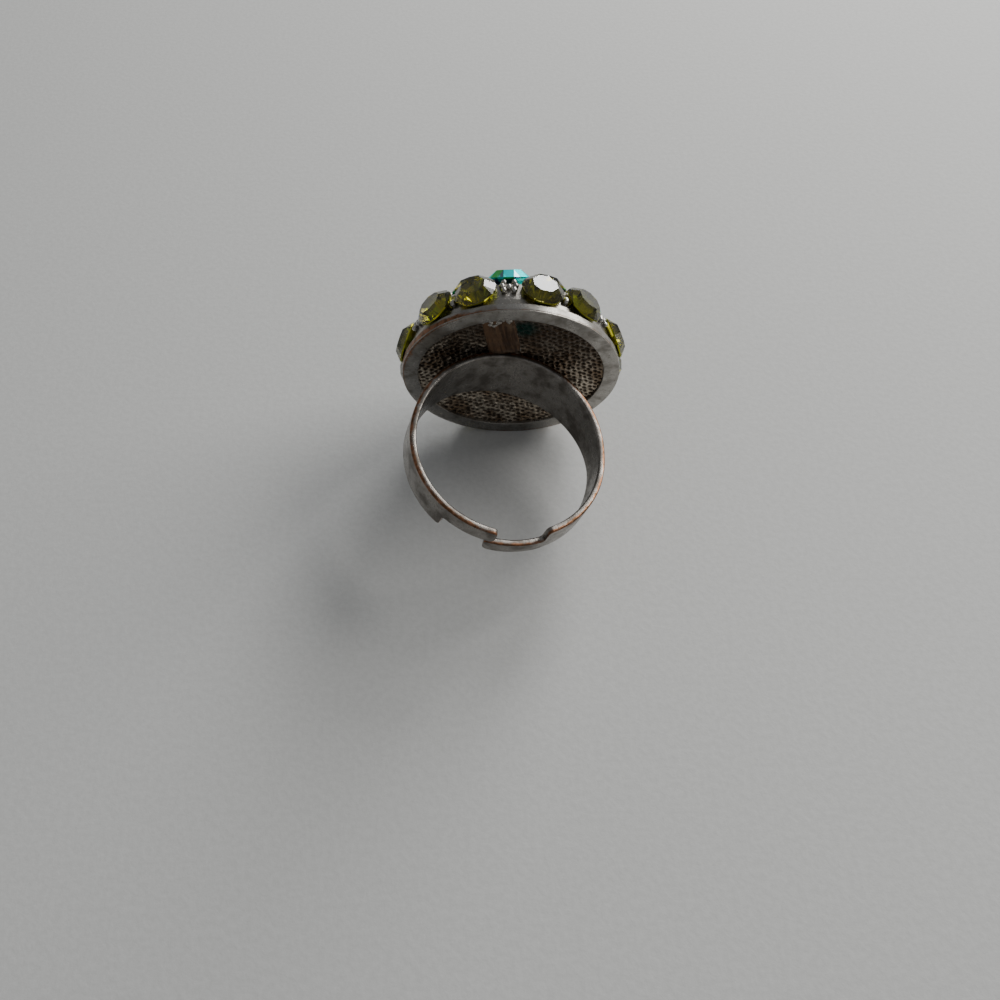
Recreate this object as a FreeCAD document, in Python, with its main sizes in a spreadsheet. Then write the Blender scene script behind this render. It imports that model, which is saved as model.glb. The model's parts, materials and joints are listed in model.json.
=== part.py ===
"""Adjustable cocktail ring with a domed head of foil-backed crystals, lying on its side.

The ring is drawn upright in its own frame: X across the finger, Y along the finger, Z from the hoop up
to the head, and z = 0 on the flat underside of the head's rim. Each finished sub-part is then laid down
by one common placement, so that the assembly rests on a table with +Z up and the origin under its centre.
"""
import FreeCAD, Part
import math
import os

import Sketcher

from FreeCAD import Placement, Rotation, Vector

# Driving dimensions, in millimetres and degrees.
SIZES = {
    # head casting
    "rim_radius": 11.3,
    "rim_height": 1.0,
    "rim_bevel": 0.2,
    "recess_radius": 9.7,
    "recess_wall": 0.45,
    "recess_bow": 0.5,
    "dome_radius": 10.85,
    "dome_base": 1.65,
    "dome_rise": 6.75,
    "shoulder_radius": 4.4,
    "bend_slope": 28.0,
    "bend_proud": 0.08,
    "pad_turn": -23.0,
    "pad_width": 3.2,
    "pad_length": 5.7,
    "pad_underside": 0.35,
    "bead_radius": 0.28,
    "claw_radius": 0.34,
    # crystals
    "stone_radius": 2.17,
    "table_radius": 1.3,
    "culet_radius": 0.35,
    "crown_height": 0.75,
    "girdle_height": 0.15,
    "pavilion_depth": 1.7,
    "stone_lift": 0.35,
    "seat_clearance": 0.02,
    "head_turn": -16.0,
    "pair_half_angle": 17.5,
    "outer_station": 10.68,
    "upper_station": 8.54,
    "between_station": 7.28,
    "inner_station": 4.36,
    # shank
    "finger_radius": 9.35,
    "band_thickness": 0.65,
    "band_top_width": 6.7,
    "band_side_width": 4.0,
    "band_end_width": 3.6,
    "hoop_drop": 9.2,
    "hoop_across": -0.75,
    "hoop_along": 0.2,
    "bend_angle": 45.0,
    "bend_clearance": 0.06,
    "left_shoulder": 39.5,
    "left_end": 7.0,
    "right_shoulder": 23.5,
    "right_end": 12.0,
    "split_offset": 0.15,
    "split_gap": 0.15,
    "solder_length": 5.0,
    "solder_width": 4.4,
    "solder_floor": 0.3,
}

SIDES = 8
STONE_TURN = 180.0 / SIDES
GROUP_ANGLE = 60.0
GROUPS = 6
FULL_TURN = 360.0
RESTING_PAIR = ("olive_crystal_outer_07", "olive_crystal_outer_08")

# The crystals sit on a dome whose tight shoulder arc runs on, without a corner, into a wide crown arc.
CROWN_RADIUS = (
    "((({dome_radius} - {shoulder_radius})^2 + {dome_rise}^2 - {shoulder_radius}^2)"
    " / (2 * ({dome_rise} - {shoulder_radius})))"
)
CROWN_CENTRE = "({dome_base} + {dome_rise} - %s)" % CROWN_RADIUS
MEETING_SHARE = "(%s / (%s - {shoulder_radius}))" % (CROWN_RADIUS, CROWN_RADIUS)
MEETING = (
    "({dome_radius} - {shoulder_radius}) * " + MEETING_SHARE,
    "%s + ({dome_base} - %s) * %s" % (CROWN_CENTRE, CROWN_CENTRE, MEETING_SHARE),
)
BOW_RADIUS = "(({recess_radius}^2 + {recess_bow}^2) / (2 * {recess_bow}))"
# The casting follows the shoulder arc with two cones, which meet a little outside it.
SHOULDER_BEND = (
    "{dome_radius} - {shoulder_radius} + ({shoulder_radius} + {bend_proud}) * cos({bend_slope} * 1deg)",
    "{dome_base} + ({shoulder_radius} + {bend_proud}) * sin({bend_slope} * 1deg)",
)
BEAD_SINK = 4
# Bead prongs: distance from the head's axis, then sideways shift or angle from the middle of a group.
CLUSTER = (
    (10.72, -0.5), (10.72, 0.5),
    (10.5, -0.66), (10.56, 0.0), (10.5, 0.66),
    (10.1, -0.5), (10.1, 0.5),
)
CLAW_STATION = 10.8
HIGH_STATION, HIGH_ANGLE = 9.0, 19.0
INNER_STATION, INNER_ANGLE = 6.75, 11.0
MID_STATION = 5.2
CROWN_STATION = 2.6
BOTTOM = 270.0
TOP = 90.0

doc = FreeCAD.newDocument("cocktail_ring")
sheet = doc.addObject("Spreadsheet::Sheet", "Sizes")


def fill_sheet():
    """One row for each driving dimension: its name, and its value with the name as alias."""
    for row, (name, value) in enumerate(SIZES.items(), start=1):
        sheet.set("A%d" % row, name)
        sheet.set("B%d" % row, str(value))
        sheet.setAlias("B%d" % row, name)
    doc.recompute()


def size(name):
    """The value of one cell of the sheet."""
    return float(sheet.get(name))


def add(kind, name, place=None, **formulas):
    """A document object whose sizes are formulas of the sheet's cells."""
    obj = doc.addObject(kind, name)
    for prop, formula in formulas.items():
        obj.setExpression(prop, formula)
    if place is not None:
        obj.Placement = place
    return obj


def cell(formula):
    """Write a formula such as '-{rim_height} / 2' in terms of the sheet's cells."""
    return formula.replace("{", "Sizes.").replace("}", "")


def evaluate(formula):
    """The present value of a formula of the sheet's cells."""
    return float(sheet.evalExpression(cell(formula)))


def cut(name, base, tool, place=None):
    obj = add("Part::Cut", name, place)
    obj.Base = base
    obj.Tool = tool
    return obj


def common(name, base, tool, place=None):
    obj = add("Part::Common", name, place)
    obj.Base = base
    obj.Tool = tool
    return obj


def fuse(name, shapes, place=None):
    obj = add("Part::MultiFuse", name, place)
    obj.Shapes = shapes
    return obj


def at(x, y, z, turn=0.0):
    return Placement(Vector(x, y, z), Rotation(Vector(0, 0, 1), turn))


# ---------------------------------------------------------------- the head's dome and its seats


def dome_point(station):
    """Height of the dome's surface, and its normal's elevation, at a distance from the head's axis."""
    if station < evaluate(MEETING[0]):
        centre, height, radius = 0.0, evaluate(CROWN_CENTRE), evaluate(CROWN_RADIUS)
    else:
        radius = size("shoulder_radius")
        centre, height = size("dome_radius") - radius, size("dome_base")
    slope = math.acos((station - centre) / radius)
    return height + radius * math.sin(slope), math.degrees(slope)


def dome_place(station, azimuth, lift):
    """Placement on the dome: local z along the normal, local y up the slope, lifted off the surface."""
    height, slope = dome_point(station)
    around = Rotation(Vector(0, 0, 1), azimuth + size("head_turn"))
    turn = around.multiply(Rotation(Vector(1, 0, 0), 90.0 - slope))
    foot = around.multVec(Vector(0, -station, height))
    return Placement(foot + turn.multVec(Vector(0, 0, lift)), turn)


def seats():
    """Name and placement of every crystal, ring by ring from the rim to the crown."""
    lift = size("stone_lift")
    half = size("pair_half_angle")
    places = {}
    for group in range(GROUPS):
        start = group * GROUP_ANGLE
        pair = 2 * group + 1
        outer = size("outer_station")
        places["olive_crystal_outer_%02d" % pair] = dome_place(outer, start - half, lift)
        places["olive_crystal_outer_%02d" % (pair + 1)] = dome_place(outer, start + half, lift)
        places["aurora_crystal_%d" % (group + 1)] = dome_place(size("upper_station"), start, lift)
        between = dome_place(size("between_station"), start + GROUP_ANGLE / 2, lift)
        places["olive_crystal_upper_%d" % (group + 1)] = between
        places["olive_crystal_inner_%d" % (group + 1)] = dome_place(size("inner_station"), start, lift)
    places["aurora_crystal_centre"] = dome_place(0.0, 0.0, lift)
    return places


def stone_sections(name, clearance):
    """The four octagons of a crystal: table, girdle top, girdle bottom and blunt culet."""
    spread = " + {seat_clearance}" if clearance else ""
    outlines = [
        ("table", "{table_radius}", size("crown_height")),
        ("girdle_top", "{stone_radius}", 0.0),
        ("girdle_bottom", "{stone_radius}", -size("girdle_height")),
        ("culet", "{culet_radius}", -size("girdle_height") - size("pavilion_depth")),
    ]
    sections = []
    for label, radius, height in outlines:
        outline = add(
            "Part::RegularPolygon", name + "_" + label, at(0, 0, height, STONE_TURN),
            Circumradius=cell(radius + spread),
        )
        outline.Polygon = SIDES
        sections.append(outline)
    return sections


def crystal(name, sections, place):
    """A faceted stone: straight facets from octagon to octagon."""
    stone = add("Part::Loft", name, place)
    stone.Sections = sections
    stone.Ruled = True
    stone.Solid = True
    return stone


# ---------------------------------------------------------------- the head casting


def bead(name, station, azimuth, sideways=0.0, radius="{bead_radius}"):
    """A bead prong half sunk in the dome, moved sideways along the surface if asked."""
    place = dome_place(station, azimuth, 0.0)
    place = place.multiply(Placement(Vector(sideways, 0, size("bead_radius") / BEAD_SINK), Rotation()))
    return add("Part::Sphere", name, place, Radius=cell(radius))


def bead_prongs():
    """Beads that hold the crystals: a cluster in each wide gap, single beads in the narrow ones."""
    beads = []
    for group in range(GROUPS):
        start = group * GROUP_ANGLE
        gap = start + GROUP_ANGLE / 2
        for index, (station, sideways) in enumerate(CLUSTER):
            beads.append(bead("cluster_%d_%d" % (group, index), station, start, sideways))
        beads.append(bead("claw_%d" % group, CLAW_STATION, gap, 0.0, "{claw_radius}"))
        for side in (-1, 1):
            beads.append(bead("high_bead_%d_%d" % (group, side), HIGH_STATION, start + side * HIGH_ANGLE))
            beads.append(bead("inner_bead_%d_%d" % (group, side), INNER_STATION, start + side * INNER_ANGLE))
        beads.append(bead("crown_bead_%d" % group, CROWN_STATION, gap))
        beads.append(bead("mid_bead_%d" % group, MID_STATION, gap))
    return beads


def casting_outline(body):
    """Half section of the rim, the dome and the hollow back: x is the radius, y the height."""
    bevel = "({rim_radius} - {rim_bevel})"
    corners = [
        ("{recess_radius}", "0"),
        ("{rim_radius}", "0"),
        ("{rim_radius}", "{rim_height} - {rim_bevel}"),
        (bevel, "{rim_height}"),
        ("{dome_radius}", "{rim_height}"),
        ("{dome_radius}", "{dome_base}"),
        SHOULDER_BEND,
        MEETING,
        ("0", "{dome_base} + {dome_rise}"),
        ("0", "{recess_wall} + {recess_bow}"),
        ("{recess_radius}", "{recess_wall}"),
    ]
    crown = ("0", CROWN_CENTRE, CROWN_RADIUS)
    ceiling = ("0", "{recess_wall} + {recess_bow} - " + BOW_RADIUS, BOW_RADIUS)
    return outline_sketch(body, corners, {7: (crown, True), 9: (ceiling, False)})


def outline_sketch(body, corners, arcs):
    """A closed outline of lines and arcs through the corners, every one bound to the sheet.

    arcs maps a side's number to its centre and radius, and to whether it runs counter-clockwise.
    """
    plane = next(f for f in body.Origin.OriginFeatures if f.Role == "XZ_Plane")
    sketch = body.newObject("Sketcher::SketchObject", body.Name + "_outline")
    sketch.AttachmentSupport = [(plane, "")]
    sketch.MapMode = "FlatFace"
    points = [Vector(evaluate(x), evaluate(y), 0) for x, y in corners]
    ends = []
    for side, start in enumerate(points):
        stop = points[(side + 1) % len(points)]
        if side in arcs:
            (x, y, radius), forward = arcs[side]
            centre = Vector(evaluate(x), evaluate(y), 0)
            first, last = (start, stop) if forward else (stop, start)
            angles = [math.atan2(p.y - centre.y, p.x - centre.x) for p in (first, last)]
            circle = Part.Circle(centre, Vector(0, 0, 1), evaluate(radius))
            sketch.addGeometry(Part.ArcOfCircle(circle, *angles), False)
            ends.append((1, 2) if forward else (2, 1))
        else:
            sketch.addGeometry(Part.LineSegment(start, stop), False)
            ends.append((1, 2))
    for side, corner in enumerate(corners):
        before = side - 1 if side else len(corners) - 1
        sketch.addConstraint(Sketcher.Constraint("Coincident", before, ends[before][1], side, ends[side][0]))
        for kind, axis, formula in zip(("DistanceX", "DistanceY"), (-2, -1), corner):
            if formula == "0":
                sketch.addConstraint(Sketcher.Constraint("PointOnObject", side, ends[side][0], axis))
            else:
                number = sketch.addConstraint(
                    Sketcher.Constraint(kind, -1, 1, side, ends[side][0], evaluate(formula)))
                sketch.setExpression("Constraints[%d]" % number, cell(formula))
    for side, (curve, _) in arcs.items():
        radius = curve[2]
        number = sketch.addConstraint(Sketcher.Constraint("Radius", side, evaluate(radius)))
        sketch.setExpression("Constraints[%d]" % number, cell(radius))
    return sketch


def turned_body():
    """Rim, dome and hollow back, turned about the head's axis in one piece."""
    body = doc.addObject("PartDesign::Body", "casting_turned")
    sketch = casting_outline(body)
    turned = body.newObject("PartDesign::Revolution", "casting_revolution")
    turned.Profile = sketch
    turned.ReferenceAxis = (sketch, ["V_Axis"])
    turned.Angle = FULL_TURN
    body.Tip = turned
    return body


def casting_blank(turned):
    """The turned body with its bead prongs and the smooth pad in its recess."""
    pad = add("Part::Box", "pad", None, Length=cell("{pad_width}"), Width=cell("{pad_length}"),
              Height=cell("{rim_height} - {pad_underside}"))
    corner = at(-size("pad_width") / 2, -size("recess_radius"), size("pad_underside"))
    pad.Placement = at(0, 0, 0, size("pad_turn")).multiply(corner)
    return fuse("casting_blank", [turned, pad] + bead_prongs())


def head_casting(blank, places, lay):
    sections = stone_sections("seat", True)
    cutters = [crystal("seat_" + name, sections, place) for name, place in places.items()]
    return cut("head_casting", blank, fuse("seat_cutters", cutters), lay)


# ---------------------------------------------------------------- the shank
# The shank is drawn flat: x across the finger, y up to the head, z towards the wearer's fingertip.


def pie(name, start, sweep, radius, low, height):
    """A sector of a disc about the finger's axis, from a start angle, counter-clockwise."""
    sector = add("Part::Cylinder", name, at(0, 0, 0, start), Radius=cell(radius), Height=cell(height))
    sector.Angle = sweep
    sector.setExpression("Placement.Base.z", cell(low))
    return sector


def band_outline(name):
    """The side taper of the band: widest under the head, narrower at the sides and the ends."""
    reach = "{finger_radius} + {band_thickness}"
    upper = add("Part::Wedge", name + "_upper", None,
                Xmin=cell("-(%s)" % reach), Xmax=cell(reach), X2min=cell("-(%s)" % reach), X2max=cell(reach),
                Ymin="0", Ymax=cell(reach),
                Zmin=cell("-{band_side_width} / 2"), Zmax=cell("{band_side_width} / 2"),
                Z2min=cell("-{band_top_width} / 2"), Z2max=cell("{band_top_width} / 2"))
    lower = add("Part::Wedge", name + "_lower", None,
                Xmin=cell("-(%s)" % reach), Xmax=cell(reach), X2min=cell("-(%s)" % reach), X2max=cell(reach),
                Ymin=cell("-(%s)" % reach), Ymax="0",
                Zmin=cell("-{band_end_width} / 2"), Zmax=cell("{band_end_width} / 2"),
                Z2min=cell("-{band_side_width} / 2"), Z2max=cell("{band_side_width} / 2"))
    return fuse(name, [upper, lower])


def band_sector(name, start, sweep):
    """A stretch of the flat strip, bent to the hoop's radius, with straight sides."""
    outer = pie(name + "_outer", start, sweep, "{finger_radius} + {band_thickness}",
                "-{band_top_width} / 2", "{band_top_width}")
    inner = pie(name + "_inner", 0, FULL_TURN, "{finger_radius}", "-{band_top_width}", "2 * {band_top_width}")
    return cut(name, outer, inner)


def bend_pin(name, angle, radius):
    """A round bar along a bend line, at the middle of the strip's thickness."""
    middle = size("finger_radius") + size("band_thickness") / 2
    spot = Vector(middle * math.cos(math.radians(angle)), middle * math.sin(math.radians(angle)),
                  -size("band_top_width") / 2)
    return add("Part::Cylinder", name, Placement(spot, Rotation()), Radius=cell(radius),
               Height=cell("{band_top_width}"))


def shank_saddle(place):
    """The middle of the strip, between the two bend lines, soldered under the head."""
    bend = size("bend_angle")
    sector = band_sector("saddle_sector", TOP - bend, 2 * bend)
    strip = common("saddle_strip", sector, band_outline("saddle_outline"))
    pins = [bend_pin("saddle_pin_%d" % side, TOP + side * bend, "{band_thickness} / 2 + {bend_clearance}")
            for side in (-1, 1)]
    return cut("shank_saddle", strip, fuse("saddle_pins", pins), place)


def shank_arm(name, side, shoulder, end, notch_low, place):
    """One arm: from its bend line to a shoulder, then half the strip's width on to its end.

    side is 1 for the left arm, which runs on counter-clockwise, and -1 for the right one.
    """
    bend = TOP + side * size("bend_angle")
    tip = BOTTOM - end if side > 0 else BOTTOM - FULL_TURN - end
    shelf = BOTTOM - shoulder if side > 0 else BOTTOM - FULL_TURN + shoulder
    start, sweep = (bend, tip - bend) if side > 0 else (tip, bend - tip)
    sector = band_sector(name + "_sector", start, sweep)
    pin = bend_pin(name + "_pin", bend, "{band_thickness} / 2")
    strip = common(name + "_strip", fuse(name + "_bar", [sector, pin]), band_outline(name + "_outline"))
    notch_start = shelf if side > 0 else tip - size("left_end")
    notch_sweep = tip + size("left_end") - shelf if side > 0 else shelf - notch_start
    notch = pie(name + "_notch", notch_start, notch_sweep, "{rim_radius}", notch_low, "{band_top_width}")
    return cut(name, strip, notch, place)


def shank(lay):
    """The three stretches of the strip, in their places under the head."""
    centre = Vector(size("hoop_across"), size("hoop_along"), -size("hoop_drop"))
    hoop = Placement(centre, Rotation(Vector(1, 0, 0), 90.0))
    place = lay.multiply(hoop)
    left = shank_arm("shank_left_arm", 1, size("left_shoulder"), size("left_end"),
                     "-{split_offset} + {split_gap} / 2 - {band_top_width}", place)
    right = shank_arm("shank_right_arm", -1, size("right_shoulder"), size("right_end"),
                      "-{split_offset} - {split_gap} / 2", place)
    return [shank_saddle(place), left, right], hoop


def solder_joint(turned, hoop, lay):
    """The solder between the band's top and the ceiling of the recess."""
    block = add("Part::Box", "solder_block", None, Length=cell("{solder_length}"),
                Width=cell("{solder_width}"), Height=cell("{rim_height} + {recess_bow}"))
    block.Placement = at(size("hoop_across") - size("solder_length") / 2,
                         size("hoop_along") - size("solder_width") / 2, size("solder_floor"))
    band = add("Part::Cylinder", "solder_band", hoop.multiply(at(0, 0, -size("band_top_width"))),
               Radius=cell("{finger_radius} + {band_thickness}"), Height=cell("2 * {band_top_width}"))
    return cut("solder_joint", cut("solder_gap", block, band), turned, lay)


# ---------------------------------------------------------------- assembly


def stone_corners(place):
    """The corners of a crystal's table and girdle, which are the ones that can touch a table top."""
    corners = []
    for index in range(SIDES):
        angle = math.radians(STONE_TURN + index * FULL_TURN / SIDES)
        aside = Vector(math.cos(angle), math.sin(angle), 0)
        corners.append(place.multVec(aside * size("table_radius") + Vector(0, 0, size("crown_height"))))
        corners.append(place.multVec(aside * size("stone_radius")))
    return corners


def laid_down(places):
    """The turn that lays the ring on its side, on the rim's edge and the two crystals of the lowest pair.

    The head is heavy enough to hold the hoop clear of the table.
    """
    square = Placement(Vector(), Rotation(Vector(0, 0, 1), -size("head_turn")))
    rim = size("rim_radius")
    corners = [square.multVec(corner) for name in RESTING_PAIR for corner in stone_corners(places[name])]
    lean = max(math.degrees(math.atan2(corner.y - rim, corner.z)) for corner in corners)
    return Placement(Vector(), Rotation(Vector(1, 0, 0), lean - 90.0)).multiply(square)


def stand_on_origin(nodes):
    """Shift every sub-part alike, so that the origin is under the middle of the assembly's box."""
    box = FreeCAD.BoundBox()
    for node in nodes:
        box.add(node.Shape.optimalBoundingBox())
    shift = Placement(Vector(-box.Center.x, -box.Center.y, -box.ZMin), Rotation())
    for node in nodes:
        node.Placement = shift.multiply(node.Placement)
    doc.recompute()


def check(nodes):
    for obj in doc.Objects:
        if "Invalid" in obj.State or "Error" in obj.State:
            raise RuntimeError("%s failed: %s" % (obj.Name, obj.State))
    for node in nodes:
        if node.Shape.isNull() or not node.Shape.isValid() or len(node.Shape.Solids) != 1:
            raise RuntimeError("%s is not one valid solid" % node.Label)


def main():
    fill_sheet()
    places = seats()
    lay = laid_down(places)
    turned = turned_body()
    blank = casting_blank(turned)
    nodes = [head_casting(blank, places, lay)]
    sections = stone_sections("stone", False)
    nodes += [crystal(name, sections, lay.multiply(place)) for name, place in places.items()]
    band, hoop = shank(lay)
    nodes += band
    nodes.append(solder_joint(turned, hoop, lay))
    doc.recompute()
    check(nodes)
    stand_on_origin(nodes)
    check(nodes)
    os.makedirs("parts", exist_ok=True)
    for node in nodes:
        node.Shape.exportStep(os.path.join("parts", node.Label + ".step"))
        print("%-26s %8.3f mm3" % (node.Label, node.Shape.Volume))


main()
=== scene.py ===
"""Looks of an adjustable cocktail ring on its side: domed head, faceted crystals, split strip band.

Pieces are drawn in millimetres in one of two local frames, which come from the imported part:
- the hoop frame: x across the finger, y from the finger's axis up to the head, z along the finger;
- the head frame: x across the finger, y along it, z out of the head, with z = 0 on the rim's underside.
"""

import json
import math
import random

import bmesh
import bpy
from mathutils import Matrix, Quaternion, Vector, noise


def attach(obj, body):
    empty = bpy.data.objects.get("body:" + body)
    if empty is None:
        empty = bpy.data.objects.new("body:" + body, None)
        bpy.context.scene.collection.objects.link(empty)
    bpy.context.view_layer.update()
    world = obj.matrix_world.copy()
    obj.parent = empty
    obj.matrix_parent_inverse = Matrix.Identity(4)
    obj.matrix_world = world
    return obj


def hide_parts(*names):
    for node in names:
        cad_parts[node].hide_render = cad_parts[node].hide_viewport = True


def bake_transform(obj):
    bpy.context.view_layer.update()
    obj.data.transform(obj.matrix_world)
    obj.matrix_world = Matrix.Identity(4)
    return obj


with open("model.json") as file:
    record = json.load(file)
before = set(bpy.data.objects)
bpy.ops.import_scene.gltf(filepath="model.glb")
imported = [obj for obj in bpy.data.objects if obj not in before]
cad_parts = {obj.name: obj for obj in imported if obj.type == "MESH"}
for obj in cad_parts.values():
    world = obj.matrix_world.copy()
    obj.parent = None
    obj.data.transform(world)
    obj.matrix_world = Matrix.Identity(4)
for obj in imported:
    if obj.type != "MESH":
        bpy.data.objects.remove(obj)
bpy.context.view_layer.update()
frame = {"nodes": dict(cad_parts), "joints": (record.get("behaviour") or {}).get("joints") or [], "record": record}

MM = 0.001
random.seed(7)

# Head, in millimetres and degrees.
RIM_RADIUS = 11.3
RECESS_RADIUS = 9.7
RECESS_WALL = 0.45
RECESS_BOW = 0.5
DOME_RADIUS = 10.85
DOME_BASE = 1.65
SHOULDER_RADIUS = 4.4
CROWN_RADIUS = 14.43
CROWN_CENTRE = -6.03
CROWN_REACH = 9.28
HEAD_TURN = -16.0
HOOP_DROP = 9.2
HEAD_ACROSS = 0.75
HEAD_ALONG = -0.2
GROUPS = 6
GROUP_ANGLE = 60.0
PAD_TURN = -23.0
PAD_WIDTH = 3.2
PAD_LENGTH = 5.7
PAD_UNDERSIDE = 0.35

# Band, in millimetres and degrees.
BAND_THICKNESS = 0.65
BAND_TOP_HALF = 3.35
BAND_SIDE_HALF = 2.0
BAND_END_HALF = 1.8
TOP = 90.0
BEND = 45.0
LEFT_SHELF = 140.5
LEFT_TIP = 173.0
RIGHT_SHELF = 156.5
RIGHT_TIP = 192.0
SPLIT_LEFT = -0.075
SPLIT_RIGHT = -0.225

mount = frame["record"]["mounts"][0]
FINGER_RADIUS = mount["dims"]["r_mm"]
BAND_OUTER = FINGER_RADIUS + BAND_THICKNESS
BAND_MIDDLE = FINGER_RADIUS + BAND_THICKNESS / 2
FINGERTIP = Vector(mount["axis"])
hinges = {joint["name"]: Vector(joint["pos_m"]) for joint in frame["joints"]}
ACROSS = (hinges["right_arm_flex"] - hinges["left_arm_flex"]).normalized()
HEADWARD = FINGERTIP.cross(ACROSS)
HOOP_CENTRE = Vector(mount["pos_m"])
HEAD_CENTRE = HOOP_CENTRE + (HEADWARD * HOOP_DROP + ACROSS * HEAD_ACROSS - FINGERTIP * HEAD_ALONG) * MM


def local_frame(x, y, z, origin):
    """Matrix from millimetres in a local frame to metres in the row frame."""
    turn = Matrix((x, y, z)).transposed().to_4x4()
    return Matrix.Translation(origin) @ turn @ Matrix.Scale(MM, 4)


HOOP = local_frame(ACROSS, HEADWARD, FINGERTIP, HOOP_CENTRE)
HEAD = local_frame(ACROSS, -FINGERTIP, HEADWARD, HEAD_CENTRE)


# ---------------------------------------------------------------- meshes


def piece(name, place, points, faces, looks, smooth=35.0, closed=True):
    """A mesh drawn in a local frame; 'place' keeps each point's local coordinates for the materials."""
    mesh = bpy.data.meshes.new(name)
    mesh.from_pydata([place @ Vector(p) for p in points], [], faces)
    if closed:
        face_outwards(mesh)
    for look in looks:
        mesh.materials.append(look)
    mesh.shade_smooth()
    mesh.set_sharp_from_angle(angle=math.radians(smooth))
    obj = bpy.data.objects.new(name, mesh)
    bpy.context.scene.collection.objects.link(obj)
    remember(obj, place.inverted())
    return obj


def face_outwards(mesh):
    """Turn a closed mesh's faces outwards."""
    shape = bmesh.new()
    shape.from_mesh(mesh)
    if shape.calc_volume(signed=True) < 0:
        bmesh.ops.reverse_faces(shape, faces=shape.faces)
        shape.to_mesh(mesh)
    shape.free()


def remember(obj, inverse):
    """Store each point's local coordinates, so that materials stay on the piece when it moves."""
    values = [c for v in obj.data.vertices for c in inverse @ v.co]
    obj.data.attributes.new("place", "FLOAT_VECTOR", "POINT").data.foreach_set("vector", values)


def mark_wear_and_shade(obj, wear):
    """Store how rubbed each point is, from 0 to 1; on the rim the values also hold painted shade at its bottom,
    and on the recess liner they hold the ridge share that darkens the pits as painted shade.
    """
    obj.data.attributes.new("wear", "FLOAT", "POINT").data.foreach_set("value", wear)


def mark_flash(obj, colours):
    """Store one colour for each facet."""
    values = [c for colour in colours for c in (*colour, 1.0)]
    obj.data.attributes.new("flash", "FLOAT_COLOR", "FACE").data.foreach_set("color", values)


def skin(loops, wrap=False):
    """Points and faces through equal loops, capped at both ends or joined end to end."""
    count = len(loops[0])
    points = [p for loop in loops for p in loop]
    last = len(loops) - 1
    faces = []
    for i in range(len(loops) if wrap else last):
        here, there = i * count, (i + 1) % len(loops) * count
        for j in range(count):
            k = (j + 1) % count
            faces.append((here + j, here + k, there + k, there + j))
    if not wrap:
        faces.append(tuple(reversed(range(count))))
        faces.append(tuple(range(last * count, last * count + count)))
    return points, faces


def lathe(profile, segments):
    """A closed section (radius, height) turned about the z axis."""
    loops = []
    for i in range(segments):
        a = math.tau * i / segments
        loops.append([(r * math.cos(a), r * math.sin(a), z) for r, z in profile])
    return skin(loops, wrap=True)


def arc(x, y, radius, start, stop, steps):
    """Points of an arc, in degrees, both ends included."""
    angles = [math.radians(start + (stop - start) * i / steps) for i in range(steps + 1)]
    return [(x + radius * math.cos(a), y + radius * math.sin(a)) for a in angles]


def rounding(radius, steps=5):
    """How far along and how far in a rounded corner goes, from its start to its end."""
    turns = [math.pi / 2 * i / steps for i in range(steps + 1)]
    return [(radius * math.sin(a), radius * (1 - math.cos(a))) for a in turns]


# ---------------------------------------------------------------- materials


class Look:
    """A material under construction: its nodes are made by short calls."""

    def __init__(self, name):
        self.material = bpy.data.materials.new(name)
        self.material.use_nodes = True
        self.tree = self.material.node_tree
        self.shader = self.tree.nodes["Principled BSDF"]

    def node(self, kind, settings=None, out=0, **inputs):
        made = self.tree.nodes.new(kind)
        for key, value in (settings or {}).items():
            setattr(made, key, value)
        for key, value in inputs.items():
            target = made.inputs[int(key[1:])] if key[1:].isdigit() else made.inputs[key.replace("_", " ")]
            self.feed(target, value)
        return made.outputs[out]

    def feed(self, target, value):
        if isinstance(value, bpy.types.NodeSocket):
            self.tree.links.new(value, target)
        else:
            target.default_value = value

    def set(self, **inputs):
        for key, value in inputs.items():
            self.feed(self.shader.inputs[key.replace("_", " ")], value)

    def place(self):
        return self.node("ShaderNodeAttribute", {"attribute_name": "place"}, 1)

    def value(self, name):
        return self.node("ShaderNodeAttribute", {"attribute_name": name}, 2)

    def colour(self, name):
        return self.node("ShaderNodeAttribute", {"attribute_name": name}, 0)

    def noise(self, scale, detail=4.0, rough=0.6, stretch=(1, 1, 1)):
        where = self.node("ShaderNodeVectorMath", {"operation": "MULTIPLY"}, _0=self.place(), _1=stretch)
        return self.node("ShaderNodeTexNoise", Vector=where, Scale=scale, Detail=detail, Roughness=rough)

    def math(self, operation, a, b=0.0):
        return self.node("ShaderNodeMath", {"operation": operation, "use_clamp": False}, _0=a, _1=b)

    def steps(self, value, low, high, start=0.0, stop=1.0):
        """Smoothly from start to stop as value goes from low to high."""
        return self.node("ShaderNodeMapRange", {"interpolation_type": "SMOOTHSTEP"},
                         Value=value, From_Min=low, From_Max=high, To_Min=start, To_Max=stop)

    def mix(self, share, a, b):
        settings = {"data_type": "RGBA", "blend_type": "MIX"}
        return self.node("ShaderNodeMix", settings, 2, _0=share, _6=a, _7=b)

    def split(self, vector):
        parts = self.tree.nodes.new("ShaderNodeSeparateXYZ")
        self.feed(parts.inputs[0], vector)
        return parts.outputs

    def bump(self, height, strength, distance):
        return self.node("ShaderNodeBump", Height=height, Strength=strength, Distance=distance * MM)


def rgb(r, g, b):
    return (r, g, b, 1.0)


GUNMETAL = rgb(0.30, 0.285, 0.26)
TARNISH = rgb(0.115, 0.098, 0.082)
BROWN = rgb(0.135, 0.07, 0.035)
COPPER = rgb(0.28, 0.135, 0.075)


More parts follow.
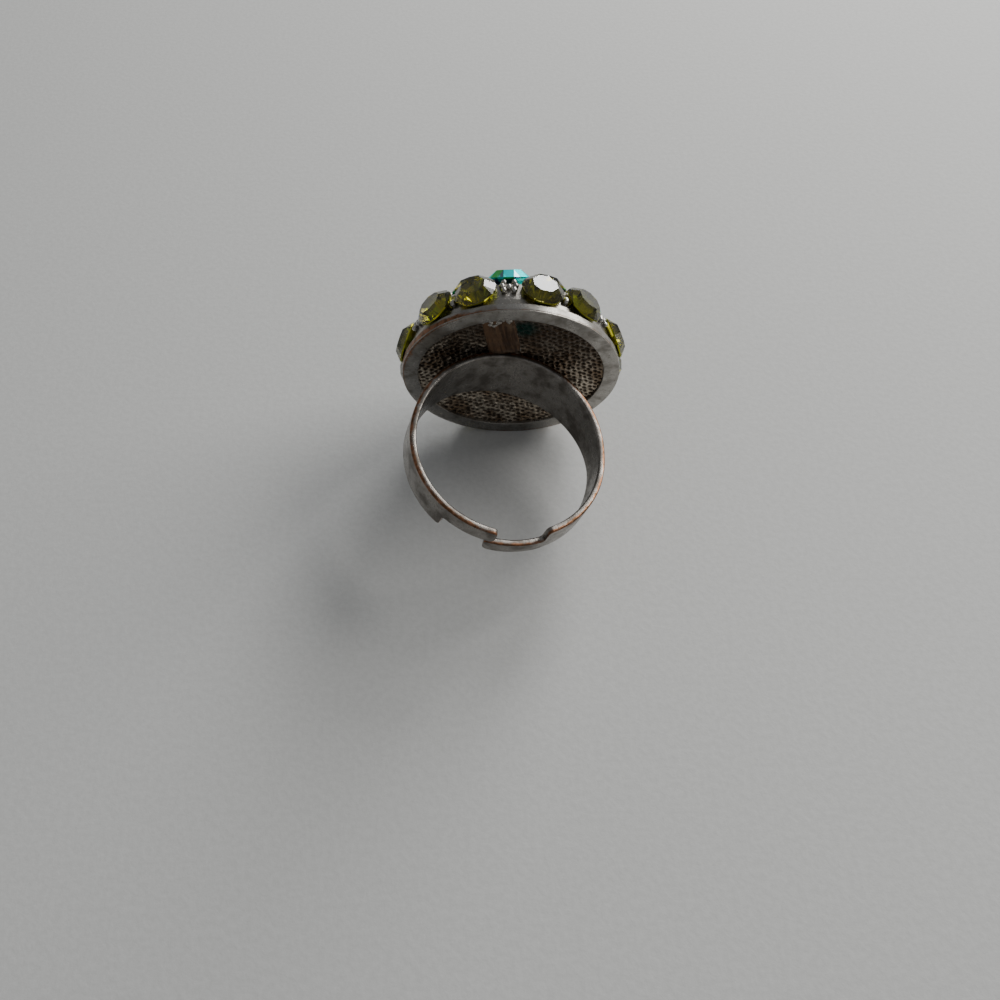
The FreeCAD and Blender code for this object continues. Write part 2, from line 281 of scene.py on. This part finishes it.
def plated(name, bright, dark, wear_start=0.55, rough=0.3):
    """Worn plating: cloudy tarnish, specks, and copper where the wear attribute is high; on the rim that attribute
    also holds painted shade, which shows as copper and brown at its bottom.
    """
    look = Look(name)
    clouds = look.steps(look.noise(0.42, 6.0, 0.62), 0.42, 0.66)
    specks = look.steps(look.noise(3.4, 5.0, 0.7), 0.56, 0.72)
    colour = look.mix(clouds, bright, dark)
    colour = look.mix(look.math("MULTIPLY", specks, 0.75), colour, TARNISH)
    # Wear with noise; on the rim it also holds painted shade at the bottom.
    rubbed_and_shaded = look.math("ADD", look.value("wear"), look.math("MULTIPLY", look.noise(0.8, 4.0, 0.65), 0.7))
    copper_and_shade = look.steps(rubbed_and_shaded, wear_start + 0.6, wear_start + 0.85)
    edge = look.mix(look.steps(look.noise(2.2, 3.0, 0.5), 0.4, 0.62), COPPER, BROWN)
    colour = look.mix(copper_and_shade, colour, edge)
    shine = look.math("ADD", look.math("MULTIPLY", specks, 0.18), look.math("MULTIPLY", clouds, 0.12))
    shine = look.math("ADD", shine, rough)
    grain = look.math("ADD", look.noise(9.0, 4.0, 0.6), look.math("MULTIPLY", specks, -0.6))
    look.set(Base_Color=colour, Metallic=1.0, Roughness=shine, Normal=look.bump(grain, 0.35, 0.03))
    return look.material


STAIN_PLACE = (-0.6, -7.6, 0.5)


def recess_metal():
    """The pitted back: pale ridges, brown pits darkened as painted shade, grime, painted shade darkest at the
    gate's end, and a green stain.
    """
    look = Look("pitted_plating")
    height = look.value("wear")
    stains = look.steps(look.noise(0.3, 4.0, 0.6), 0.4, 0.62)
    # The pits are painted dark as painted shade in the hollows; the stains vary both ridges and pits.
    ridge = look.mix(stains, rgb(0.60, 0.53, 0.43), rgb(0.27, 0.19, 0.12))
    shaded_pit = look.mix(stains, rgb(0.10, 0.08, 0.06), rgb(0.035, 0.024, 0.016))
    colour = look.mix(look.steps(height, 0.15, 0.75), shaded_pit, ridge)
    grime = look.steps(look.noise(2.6, 5.0, 0.7), 0.42, 0.66, 0.0, 0.75)
    colour = look.mix(grime, colour, rgb(0.055, 0.038, 0.025))
    # Painted shade: darker towards the gate's end of the recess, nearly black there.
    along = look.math("ADD", look.split(look.place())[1], look.math("MULTIPLY", look.noise(0.7), 3.0))
    colour = look.mix(look.steps(along, -6.0, 2.0, 0.88, 0.0), colour, rgb(0.04, 0.026, 0.016))
    green = look.node("ShaderNodeVectorMath", {"operation": "DISTANCE"}, 1, _0=look.place(), _1=STAIN_PLACE)
    green = look.math("ADD", green, look.math("MULTIPLY", look.noise(1.4), 1.4))
    colour = look.mix(look.steps(green, 1.2, 2.5, 1.0, 0.0), colour, rgb(0.008, 0.03, 0.022))
    rough = look.steps(height, 0.0, 1.0, 0.55, 0.24)
    look.set(Base_Color=colour, Metallic=0.9, Roughness=rough, Normal=look.bump(look.noise(7.0), 0.4, 0.03))
    return look.material


def pad_metal():
    """The trimmed gate: brown, with streaks that run from the rim to the band."""
    look = Look("streaked_brown")
    streaks = look.steps(look.noise(2.2, 5.0, 0.65, (1.0, 0.09, 1.0)), 0.35, 0.65)
    colour = look.mix(streaks, rgb(0.17, 0.095, 0.05), rgb(0.05, 0.028, 0.017))
    patches = look.steps(look.noise(0.9), 0.5, 0.7)
    colour = look.mix(look.math("MULTIPLY", patches, 0.5), colour, rgb(0.22, 0.15, 0.09))
    look.set(Base_Color=colour, Metallic=0.85, Roughness=look.steps(streaks, 0.0, 1.0, 0.32, 0.5),
             Normal=look.bump(streaks, 0.4, 0.04))
    return look.material


def solder_metal():
    look = Look("dull_solder")
    colour = look.mix(look.steps(look.noise(1.2), 0.4, 0.65), rgb(0.30, 0.28, 0.25), rgb(0.12, 0.09, 0.065))
    look.set(Base_Color=colour, Metallic=0.9, Roughness=0.5, Normal=look.bump(look.noise(3.0), 0.5, 0.06))
    return look.material


def crown_glass(name, tint, coat):
    """The clear part of a crystal; coat is how much of an iridescent layer lies on it."""
    look = Look(name)
    look.set(Base_Color=tint, Roughness=0.015, IOR=1.56, Transmission_Weight=1.0,
             Normal=look.bump(look.noise(1.1, 2.0, 0.5), 0.02, 0.05))
    if coat:
        coating = look.node("ShaderNodeBsdfAnisotropic", Color=look.colour("flash"), Roughness=0.32)
        both = look.tree.nodes.new("ShaderNodeMixShader")
        look.feed(both.inputs[0], coat)
        look.feed(both.inputs[1], look.shader.outputs[0])
        look.feed(both.inputs[2], coating)
        look.feed(look.tree.nodes["Material Output"].inputs["Surface"], both.outputs[0])
    return look.material


def foil(name, dark, bright):
    """The mirror foil behind a crystal, in the facet's own shade."""
    look = Look(name)
    colour = look.mix(look.steps(look.noise(0.9, 3.0), 0.35, 0.65), dark, bright)
    settings = {"data_type": "RGBA", "blend_type": "MULTIPLY"}
    shade = look.node("ShaderNodeMix", settings, 2, _0=1.0, _6=colour, _7=look.colour("flash"))
    look.set(Base_Color=shade, Metallic=1.0, Roughness=0.14)
    return look.material


BAND_METAL = plated("band_plating", rgb(0.31, 0.29, 0.265), rgb(0.13, 0.115, 0.10), 0.52, 0.27)
CASTING_METAL = plated("casting_plating", rgb(0.36, 0.34, 0.31), rgb(0.24, 0.225, 0.20), 0.9, 0.24)
RIM_METAL = plated("rim_plating", rgb(0.36, 0.345, 0.32), rgb(0.19, 0.175, 0.155), 0.5, 0.27)
BEAD_METAL = plated("bead_plating", rgb(0.5, 0.48, 0.45), GUNMETAL, 0.9, 0.16)
RECESS_METAL = recess_metal()
PAD_METAL = pad_metal()
SOLDER_METAL = solder_metal()
OLIVE_GLASS = crown_glass("olive_glass", rgb(0.66, 0.63, 0.16), 0.0)
OLIVE_FOIL = foil("olive_foil", rgb(0.34, 0.33, 0.03), rgb(0.55, 0.54, 0.06))
AURORA_GLASS = crown_glass("aurora_glass", rgb(0.35, 0.85, 0.75), 0.75)
AURORA_FOIL = foil("aurora_foil", rgb(0.22, 0.5, 0.46), rgb(0.45, 0.8, 0.7))

OLIVE_SHADES = [(1.0, 1.0, 1.0), (0.75, 0.78, 0.6), (0.5, 0.5, 0.5), (1.0, 0.9, 0.5), (0.85, 1.0, 0.7)]
AURORA_SHADES = [(0.0, 0.95, 1.0), (0.0, 0.95, 1.0), (0.12, 0.7, 0.16), (0.08, 0.2, 0.5), (0.2, 0.38, 0.42)]


# ---------------------------------------------------------------- crystals

STONE_CORNERS = 8
MAIN_HALF = math.radians(14.0)
CULET_RADIUS = 0.3


def stone_frame(node):
    """Where a crystal sits, read from its CAD mesh: origin in the table, z out of it, x to a corner.

    Also returns its table radius, girdle radius and the depths of the girdle and culet, in millimetres.
    """
    mesh = frame["nodes"][node].data
    mesh.calc_loop_triangles()
    flats = {}
    for triangle in mesh.loop_triangles:
        flats.setdefault(tuple(round(c, 2) for c in triangle.normal), []).append(triangle)
    table = max(flats.values(), key=lambda group: sum(t.area for t in group))
    normal = table[0].normal.copy()
    area = sum(t.area for t in table)
    middle = sum((t.center * t.area for t in table), Vector()) / area
    rim = [mesh.vertices[i].co - middle for t in table for i in t.vertices]
    corner = max(rim, key=lambda p: p.length)
    across = corner.normalized()
    place = local_frame(across, normal.cross(across), normal, middle)
    inside = place.inverted()
    local = [inside @ v.co for v in mesh.vertices]
    girdle = max(math.hypot(p.x, p.y) for p in local)
    widest = [-p.z for p in local if math.hypot(p.x, p.y) > 0.98 * girdle]
    return place, corner.length / MM, girdle, (min(widest), max(widest), max(-p.z for p in local))


def stone_ring(radius, angles, depth):
    return [(radius * math.cos(a), radius * math.sin(a), -depth) for a in angles]


def cut_stone(node, glass, mirror, shades):
    """A chaton: octagonal table, eight main facets with a small one between each two, foiled pavilion."""
    place, table, girdle, depths = stone_frame(node)
    step = math.tau / STONE_CORNERS
    middles = [step * (i + 0.5) for i in range(STONE_CORNERS)]
    corners = [step * i for i in range(STONE_CORNERS)]
    ends = [a + s * MAIN_HALF for a in middles for s in (-1, 1)]
    points = stone_ring(table, corners, 0.0)
    points += stone_ring(girdle, ends, depths[0]) + stone_ring(girdle, ends, depths[1])
    points += stone_ring(CULET_RADIUS, corners, depths[2])
    upper, lower, point = STONE_CORNERS, 3 * STONE_CORNERS, 5 * STONE_CORNERS
    sides = 2 * STONE_CORNERS
    crown, back = [tuple(range(STONE_CORNERS))], []
    for i in range(STONE_CORNERS):
        after = (i + 1) % STONE_CORNERS
        start, stop = 2 * i, 2 * i + 1
        follow = (stop + 1) % sides
        crown.append((i, upper + start, upper + stop, after))
        crown.append((after, upper + stop, upper + follow))
        back.append((lower + start, point + i, point + after, lower + stop))
        back.append((lower + stop, point + after, lower + follow))
        for a, b in ((start, stop), (stop, follow)):
            back.append((upper + a, lower + a, lower + b, upper + b))
    back.append(tuple(point + i for i in reversed(range(STONE_CORNERS))))
    stone = piece(node + "_cut", place, points, crown + back, [glass, mirror], 1.0)
    for face in stone.data.polygons:
        face.use_smooth = False
        face.material_index = 1 if face.index >= len(crown) else 0
    mark_flash(stone, [random.choice(shades) for face in stone.data.polygons])
    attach(stone, "head")
    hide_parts(node)
    return stone


def cut_stones():
    for node in sorted(frame["nodes"]):
        if node.startswith("olive_crystal"):
            cut_stone(node, OLIVE_GLASS, OLIVE_FOIL, OLIVE_SHADES)
        if node.startswith("aurora_crystal"):
            cut_stone(node, AURORA_GLASS, AURORA_FOIL, AURORA_SHADES)


# ---------------------------------------------------------------- head casting


def dome_place(station, azimuth, sideways=0.0):
    """Frame on the dome, in the head frame: z along the normal, y up the slope."""
    if station < CROWN_REACH:
        centre, height, radius = 0.0, CROWN_CENTRE, CROWN_RADIUS
    else:
        centre, height, radius = DOME_RADIUS - SHOULDER_RADIUS, DOME_BASE, SHOULDER_RADIUS
    slope = math.acos((station - centre) / radius)
    around = Matrix.Rotation(math.radians(azimuth + HEAD_TURN), 4, "Z")
    foot = Matrix.Translation((0, -station, height + radius * math.sin(slope)))
    tilt = Matrix.Rotation(math.pi / 2 - slope, 4, "X")
    return around @ foot @ tilt @ Matrix.Translation((sideways, 0, 0))


BALL_RINGS = 8
BALL_SIDES = 14


def ball(place, width, length, height):
    """Loops of a rounded bead, in the head frame, from its foot to its top."""
    loops = []
    for i in range(BALL_RINGS + 1):
        lift = math.radians(-84 + 168 * i / BALL_RINGS)
        loop = []
        for j in range(BALL_SIDES):
            a = math.tau * j / BALL_SIDES
            spot = Vector((width * math.cos(lift) * math.cos(a), length * math.cos(lift) * math.sin(a),
                           height * math.sin(lift)))
            spot *= 1 + 0.08 * noise.noise(place.translation + spot * 3)
            loop.append(tuple(place @ spot))
        loops.append(loop)
    return skin(loops)


# Beads: distance from the head's axis, then sideways shift or angle from the middle of a group.
CLUSTER = (
    (10.72, -0.5), (10.72, 0.5),
    (10.5, -0.66), (10.56, 0.0), (10.5, 0.66),
    (10.1, -0.5), (10.1, 0.5),
)
BEAD_RADIUS = 0.3
CLAW_RADIUS = 0.38
CLAW_STATION = 10.8
HIGH_STATION, HIGH_ANGLE = 9.0, 19.0
INNER_STATION, INNER_ANGLE = 6.75, 11.0
MID_STATION = 5.2
CROWN_STATION = 2.6


def bead_places():
    """Station, azimuth, sideways shift and radius of every bead prong."""
    for group in range(GROUPS):
        start = group * GROUP_ANGLE
        gap = start + GROUP_ANGLE / 2
        for station, sideways in CLUSTER:
            yield station, start, sideways, BEAD_RADIUS
        yield CLAW_STATION, gap, 0.0, CLAW_RADIUS
        for side in (-1, 1):
            yield HIGH_STATION, start + side * HIGH_ANGLE, 0.0, BEAD_RADIUS
            yield INNER_STATION, start + side * INNER_ANGLE, 0.0, BEAD_RADIUS
        yield CROWN_STATION, gap, 0.0, BEAD_RADIUS
        yield MID_STATION, gap, 0.0, BEAD_RADIUS


def bead_prongs():
    points, faces = [], []
    for station, azimuth, sideways, radius in bead_places():
        place = dome_place(station, azimuth, sideways) @ Matrix.Translation((0, 0, radius / 3))
        more, sides = ball(place, radius, radius * 1.12, radius)
        faces += [tuple(i + len(points) for i in face) for face in sides]
        points += more
    beads = piece("bead_prongs", HEAD, points, faces, [BEAD_METAL], 60.0)
    mark_wear_and_shade(beads, [0.0] * len(points))
    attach(beads, "head")


RIM_ROUND = 0.2
RIM_SKIN = 0.02
RIM_SEGMENTS = 240
# Where the rim's edge turns copper and brown: at 195 degrees it is real wear; at 74 degrees, the rim's bottom, it
# is painted shade.
RUBBED_AND_SHADED_PLACES = ((math.radians(195.0), 1.0), (math.radians(74.0), 0.9))


def rubbed_and_shaded(angle):
    """How much more the rim's edge browns at an angle: most at two places, real wear at the first and painted
    shade at the second.
    """
    return 1 + sum(amount * max(0.0, math.cos(angle - spot)) ** 4 for spot, amount in RUBBED_AND_SHADED_PLACES)


def rim_skin():
    """The rim's rounded underside, drawn just proud of the casting, rubbed along its outer edge and browned at its
    bottom as painted shade.
    """
    inner, outer, under = RECESS_RADIUS - RIM_SKIN, RIM_RADIUS + RIM_SKIN, -RIM_SKIN
    profile = [(inner, RECESS_WALL + 0.1)]
    profile += arc(inner + 0.08, under + 0.08, 0.08, 180, 270, 3)
    profile += [(inner + 0.5, under), (outer - 0.6, under)]
    profile += arc(outer - RIM_ROUND, under + RIM_ROUND, RIM_ROUND, 270, 360, 6)
    profile += [(outer, 0.45), (outer, 0.74), (outer - 0.1, 0.78), (inner + 0.3, 0.7)]
    points, faces = lathe(profile, RIM_SEGMENTS)
    rim = piece("rim_skin", HEAD, points, faces, [RIM_METAL], 50.0)
    wear = [0.0, 0.15, 0.2, 0.15, 0.1, 0.15, 0.35, 0.45, 0.6, 0.85, 1.0, 0.95, 0.8, 0.7, 0.6, 0.4, 0.1, 0.0]
    turns = [math.tau * i / RIM_SEGMENTS for i in range(RIM_SEGMENTS)]
    mark_wear_and_shade(rim, [share * rubbed_and_shaded(turn) for turn in turns for share in wear])
    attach(rim, "head")


PITCH = 0.63
ROW_SHARE = math.sqrt(3) / 2
PIT_TURN = math.radians(9.0)
PIT_STRAY = 0.42
LINER_STEP = 0.085
LINER_EDGE = RECESS_RADIUS + 0.1
LINER_FLOOR = 0.02
LINER_THICKNESS = 0.3
RIDGE = 0.17


def ceiling(x, y):
    return RECESS_WALL + RECESS_BOW * (1 - (x * x + y * y) / RECESS_RADIUS**2)


def ridge_share(x, y):
    """0 in the middle of a pit and 1 on the ridges between pits, on a staggered, slightly uneven grid."""
    u = (x * math.cos(PIT_TURN) + y * math.sin(PIT_TURN)) / PITCH
    v = (-x * math.sin(PIT_TURN) + y * math.cos(PIT_TURN)) / (PITCH * ROW_SHARE)
    share = 1.0
    for row in (math.floor(v), math.floor(v) + 1):
        shift = 0.5 * (row % 2)
        for column in (math.floor(u - shift) + shift, math.floor(u - shift) + 1 + shift):
            chance = noise.cell_vector((column * 2 + 0.5, row + 0.5, 0.5))
            gap = math.hypot(u - column - PIT_STRAY * (chance.x - 0.5),
                             (v - row) * ROW_SHARE - PIT_STRAY * (chance.y - 0.5))
            rise = min(max((gap - 0.10 - 0.13 * chance.z) / 0.28, 0.0), 1.0)
            share = min(share, rise * rise * (3 - 2 * rise))
    return share


def recess_liner():
    """The pitted ceiling of the recess, as a thin shell in front of the casting."""
    count = math.ceil(LINER_EDGE / LINER_STEP)
    points, wear, index = [], [], {}
    for i in range(-count, count + 1):
        for j in range(-count, count + 1):
            x, y = i * LINER_STEP, j * LINER_STEP
            if math.hypot(x, y) > LINER_EDGE:
                continue
            ridge = ridge_share(x, y) * (0.75 + 0.5 * noise.noise((x * 1.7, y * 1.7, 3.0)))
            index[i, j] = len(points)
            points.append((x, y, ceiling(x, y) - LINER_FLOOR - RIDGE * ridge))
            # The ridge share is stored as wear; the recess metal darkens the pits with it as painted shade.
            wear.append(ridge)
    faces = []
    for i, j in index:
        square = [(i, j), (i, j + 1), (i + 1, j + 1), (i + 1, j)]
        if all(corner in index for corner in square):
            faces.append(tuple(index[corner] for corner in square))
    used = sorted({i for face in faces for i in face})
    renumber = {old: new for new, old in enumerate(used)}
    faces = [tuple(renumber[i] for i in face) for face in faces]
    kept = [points[i] for i in used]
    liner = piece("recess_liner", HEAD, kept, faces, [RECESS_METAL], 80.0, closed=False)
    mark_wear_and_shade(liner, [wear[i] for i in used])
    shell = liner.modifiers.new("shell", "SOLIDIFY")
    shell.thickness = LINER_THICKNESS * MM
    shell.offset = -1.0
    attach(liner, "head")


PAD_FACE = 0.2
PAD_ROUND = 0.25
PAD_STEPS = 40


def gate_pad():
    """The smooth trimmed gate in the recess, a little wavy."""
    loops = []
    for i in range(PAD_STEPS + 1):
        share = i / PAD_STEPS
        y = -RECESS_RADIUS - 0.05 + (PAD_LENGTH + 0.1) * share
        end = max(0.0, 1 - (1 - share) * PAD_STEPS / 5)
        half = PAD_WIDTH / 2 - 0.12 * end + 0.06 * noise.noise((share * 9, 0, 0))
        face = PAD_FACE + 0.04 * noise.noise((share * 7, 4, 0)) + 0.1 * end * end
        loop = [(-half, PAD_UNDERSIDE + 0.1), (-half, face + 0.08)]
        loop += [(-half + PAD_ROUND, face), (-half * 0.5, face - 0.02), (0.0, face)]
        loop += [(half * 0.5, face - 0.02), (half - PAD_ROUND, face), (half, face + 0.08)]
        loop += [(half, PAD_UNDERSIDE + 0.1)]
        loops.append([(x, y, z) for x, z in loop])
    points, faces = skin(loops)
    turn = HEAD @ Matrix.Rotation(math.radians(PAD_TURN), 4, "Z")
    pad = piece("gate_pad", turn, points, faces, [PAD_METAL], 40.0)
    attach(pad, "head")


CRUMBS = 16


def crumbs():
    """Small lumps of flash where the gate meets the rim."""
    points, faces = [], []
    turn = Matrix.Rotation(math.radians(PAD_TURN), 4, "Z")
    for _ in range(CRUMBS):
        x, y = random.uniform(-1.5, 1.7), -RECESS_RADIUS + random.uniform(0.1, 1.0)
        size = random.uniform(0.12, 0.26)
        place = turn @ Matrix.Translation((x, y, PAD_FACE)) @ Matrix.Rotation(random.uniform(0, 3), 4, "Z")
        more, sides = ball(place, size * 1.3, size, size * 0.8)
        faces += [tuple(i + len(points) for i in face) for face in sides]
        points += more
    lumps = piece("gate_crumbs", HEAD, points, faces, [CASTING_METAL], 60.0)
    mark_wear_and_shade(lumps, [0.0] * len(points))
    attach(lumps, "head")


def casting():
    """The CAD casting stays as it is and gets its metal."""
    node = frame["nodes"]["head_casting"]
    remember(node, HEAD.inverted())
    mark_wear_and_shade(node, [0.0] * len(node.data.vertices))
    node.data.materials.clear()
    node.data.materials.append(CASTING_METAL)


SOLDER_SIDES = 36
SOLDER_HALF = (2.6, 2.3)
SOLDER_FLOOR = 0.3
SOLDER_SQUARENESS = 0.6
# How far up the fillet, and how wide it is there.
SOLDER_STEPS = ((0.0, 0.9), (0.15, 1.0), (0.5, 1.0), (0.8, 1.06), (1.0, 1.15))


def squared(share):
    return math.copysign(abs(share) ** SOLDER_SQUARENESS, share)


def solder():
    """A lumpy fillet of solder between the band and the ceiling of the recess."""
    rise = RECESS_WALL + RECESS_BOW - SOLDER_FLOOR
    across, along = SOLDER_HALF
    loops = []
    for level, spread in SOLDER_STEPS:
        loop = []
        for j in range(SOLDER_SIDES):
            a = math.tau * j / SOLDER_SIDES
            c, s = math.cos(a), math.sin(a)
            reach = spread * (1 + 0.08 * noise.noise((c * 1.5, s * 1.5, level)))
            x = -HEAD_ACROSS + across * reach * squared(c)
            y = -HEAD_ALONG + along * reach * squared(s)
            loop.append((x, y, SOLDER_FLOOR + rise * level))
        loops.append(loop)
    blob = piece("solder_fillet", HEAD, *skin(loops), [SOLDER_METAL], 60.0)
    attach(blob, "head")
    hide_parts("solder_joint")


# ---------------------------------------------------------------- band

EDGE_ROUND = 0.16
CROWNING = 0.06
WIDTH_SHARES = (0.05, 0.16, 0.33, 0.5, 0.67, 0.84, 0.95)
ARM_STEP = 1.6
SHOULDER_ROUND = 0.35
TIP_ROUND = 0.5
WALL_SLANT = 0.04
TIP_THINNING = 0.12
BLEND_REACH = 2.5


def half_width(angle):
    """Half the strip's width at an angle of the hoop: widest under the head, narrow at the ends."""
    height = math.sin(math.radians(angle))
    widening = BAND_TOP_HALF - BAND_SIDE_HALF if height > 0 else BAND_SIDE_HALF - BAND_END_HALF
    return BAND_SIDE_HALF + widening * height


def strip_section(low, high, inset):
    """Rounded section of the strip as (radius, z, wear)."""
    inner, outer = FINGER_RADIUS + inset, BAND_OUTER - inset
    corner = min(EDGE_ROUND, (high - low) / 2.5, (outer - inner) / 2.5)
    across = [low + (high - low) * s for s in WIDTH_SHARES]
    section = [(r, z, 0.6) for r, z in arc(inner + corner, low + corner, corner, 180, 270, 3)]
    section += [(r, z, 1.0) for r, z in arc(outer - corner, low + corner, corner, 270, 360, 3)]
    section += [(outer + CROWNING * (0.25 - (s - 0.5) ** 2), z, 0.1) for s, z in zip(WIDTH_SHARES, across)]
    section += [(r, z, 1.0) for r, z in arc(outer - corner, high - corner, corner, 0, 90, 3)]
    section += [(r, z, 0.6) for r, z in arc(inner + corner, high - corner, corner, 90, 180, 3)]
    section += [(inner, z, 0.0) for z in reversed(across)]
    return section


def arm_stations(shelf, tip, side, split, notch_high):
    """Along one arm, from the middle of the head: (turn, low edge, high edge, inset).

    The half that is cut away is the low one, or the high one when notch_high.
    """
    per_mm = math.degrees(1 / BAND_MIDDLE)
    at_shelf = half_width(TOP + side * shelf) + (-split if notch_high else split)

    def station(turn, gone, trim=0.0, inset=0.0):
        half = half_width(TOP + side * turn)
        low, high = -half, half
        if notch_high:
            high = max(high - gone, split)
        else:
            low = min(low + gone, split)
        return turn, low + trim, high - trim, inset

    stations = [station(ARM_STEP * i, 0.0) for i in range(int((shelf - 2) / ARM_STEP) + 1)]
    for along, inward in rounding(SHOULDER_ROUND):
        stations.append(station(shelf - (SHOULDER_ROUND - along) * per_mm, inward))
    for deeper, along in rounding(SHOULDER_ROUND):
        stations.append(station(shelf + (WALL_SLANT + along) * per_mm, at_shelf - SHOULDER_ROUND + deeper))
    turn = stations[-1][0] + ARM_STEP
    while turn < tip - TIP_ROUND * per_mm - ARM_STEP / 4:
        stations.append(station(turn, BAND_TOP_HALF))
        turn += ARM_STEP
    for along, inward in rounding(TIP_ROUND):
        inset = TIP_THINNING * inward / TIP_ROUND
        stations.append(station(tip - (TIP_ROUND - along) * per_mm, BAND_TOP_HALF, inward, inset))
    return stations


def band_half(name, side, stations):
    """One half of the strip, from the middle of the head to its end."""
    loops, wear = [], []
    for turn, low, high, inset in stations:
        a = math.radians(TOP + side * turn)
        section = strip_section(low, high, inset)
        loops.append([(r * math.cos(a), r * math.sin(a), z) for r, z, _ in section])
        wear += [w for _, _, w in section]
    half = piece(name, HOOP, *skin(loops), [BAND_METAL], 40.0)
    mark_wear_and_shade(half, wear)
    bend = math.radians(TOP + side * BEND)
    spot = Vector((math.cos(bend), math.sin(bend), 0)) * BAND_MIDDLE
    along = Vector((-math.sin(bend), math.cos(bend), 0)) * side * BLEND_REACH
    return half, HOOP @ (spot - along), HOOP @ (spot + along)


def band():
    stations = arm_stations(LEFT_SHELF, LEFT_TIP, 1, SPLIT_LEFT, False)
    left, start, end = band_half("band_left", 1, stations)
    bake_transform(left)
    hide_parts("shank_left_arm", "shank_saddle")
    stations = arm_stations(RIGHT_SHELF, RIGHT_TIP, -1, SPLIT_RIGHT, True)
    right, start, end = band_half("band_right", -1, stations)
    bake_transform(right)
    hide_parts("shank_right_arm")


# ---------------------------------------------------------------- stage

CAMERA_AZIMUTH = 1.3
CAMERA_ELEVATION = 53.47
CAMERA_ROLL = -2.15
CAMERA_PLACE = Vector((0.03, -67.88, 87.56)) * MM
FOCAL_SHARE = 1.0
SENSOR = 36.0


def camera():
    """At the angle of the photograph: from above and in front, held almost level."""
    data = bpy.data.cameras.new("camera")
    data.sensor_width = SENSOR
    data.lens = SENSOR * FOCAL_SHARE
    data.clip_start = 0.005
    obj = bpy.data.objects.new("camera", data)
    bpy.context.scene.collection.objects.link(obj)
    azimuth, elevation = math.radians(CAMERA_AZIMUTH), math.radians(CAMERA_ELEVATION)
    forward = Vector((-math.sin(azimuth) * math.cos(elevation), math.cos(azimuth) * math.cos(elevation),
                      -math.sin(elevation)))
    obj.location = CAMERA_PLACE
    obj.rotation_mode = "QUATERNION"
    level = forward.to_track_quat("-Z", "Y")
    obj.rotation_quaternion = level @ Quaternion((0, 0, 1), math.radians(CAMERA_ROLL))
    bpy.context.scene.camera = obj


def soft_light(name, direction, distance, size, power, colour=(1, 1, 1)):
    """A square window of light that faces the ring."""
    data = bpy.data.lights.new(name, "AREA")
    data.size = size
    data.energy = power
    data.color = colour
    obj = bpy.data.objects.new(name, data)
    bpy.context.scene.collection.objects.link(obj)
    away = Vector(direction).normalized()
    obj.location = away * distance
    obj.rotation_euler = (-away).to_track_quat("-Z", "Y").to_euler()


def lights():
    soft_light("window", (0.85, 0.42, 0.60), 0.45, 0.30, 1.7, (1.0, 0.985, 0.96))
    soft_light("back_window", (0.352, 0.826, 0.435), 0.5, 0.17, 1.6)
    world = bpy.data.worlds.new("room")
    world.use_nodes = True
    world.node_tree.nodes["Background"].inputs["Color"].default_value = rgb(0.93, 0.96, 1.0)
    world.node_tree.nodes["Background"].inputs["Strength"].default_value = 0.24
    bpy.context.scene.world = world


PAPER_HALF = 0.8


def floor():
    """A sheet of pale paper."""
    corners = [(x * PAPER_HALF, y * PAPER_HALF, 0) for x, y in ((-1, -1), (1, -1), (1, 1), (-1, 1))]
    mesh = bpy.data.meshes.new("paper")
    mesh.from_pydata(corners, [], [(0, 1, 2, 3)])
    obj = bpy.data.objects.new("paper", mesh)
    bpy.context.scene.collection.objects.link(obj)
    remember(obj, Matrix.Scale(1 / MM, 4))
    look = Look("paper")
    grain = look.noise(1.6, 3.0, 0.6)
    colour = look.mix(look.steps(grain, 0.3, 0.7), rgb(0.56, 0.56, 0.545), rgb(0.60, 0.60, 0.585))
    look.set(Base_Color=colour, Roughness=0.9, Normal=look.bump(grain, 0.25, 0.1))
    mesh.materials.append(look.material)


cut_stones()
casting()
rim_skin()
recess_liner()
gate_pad()
crumbs()
bead_prongs()
solder()
band()
camera()
lights()
floor()
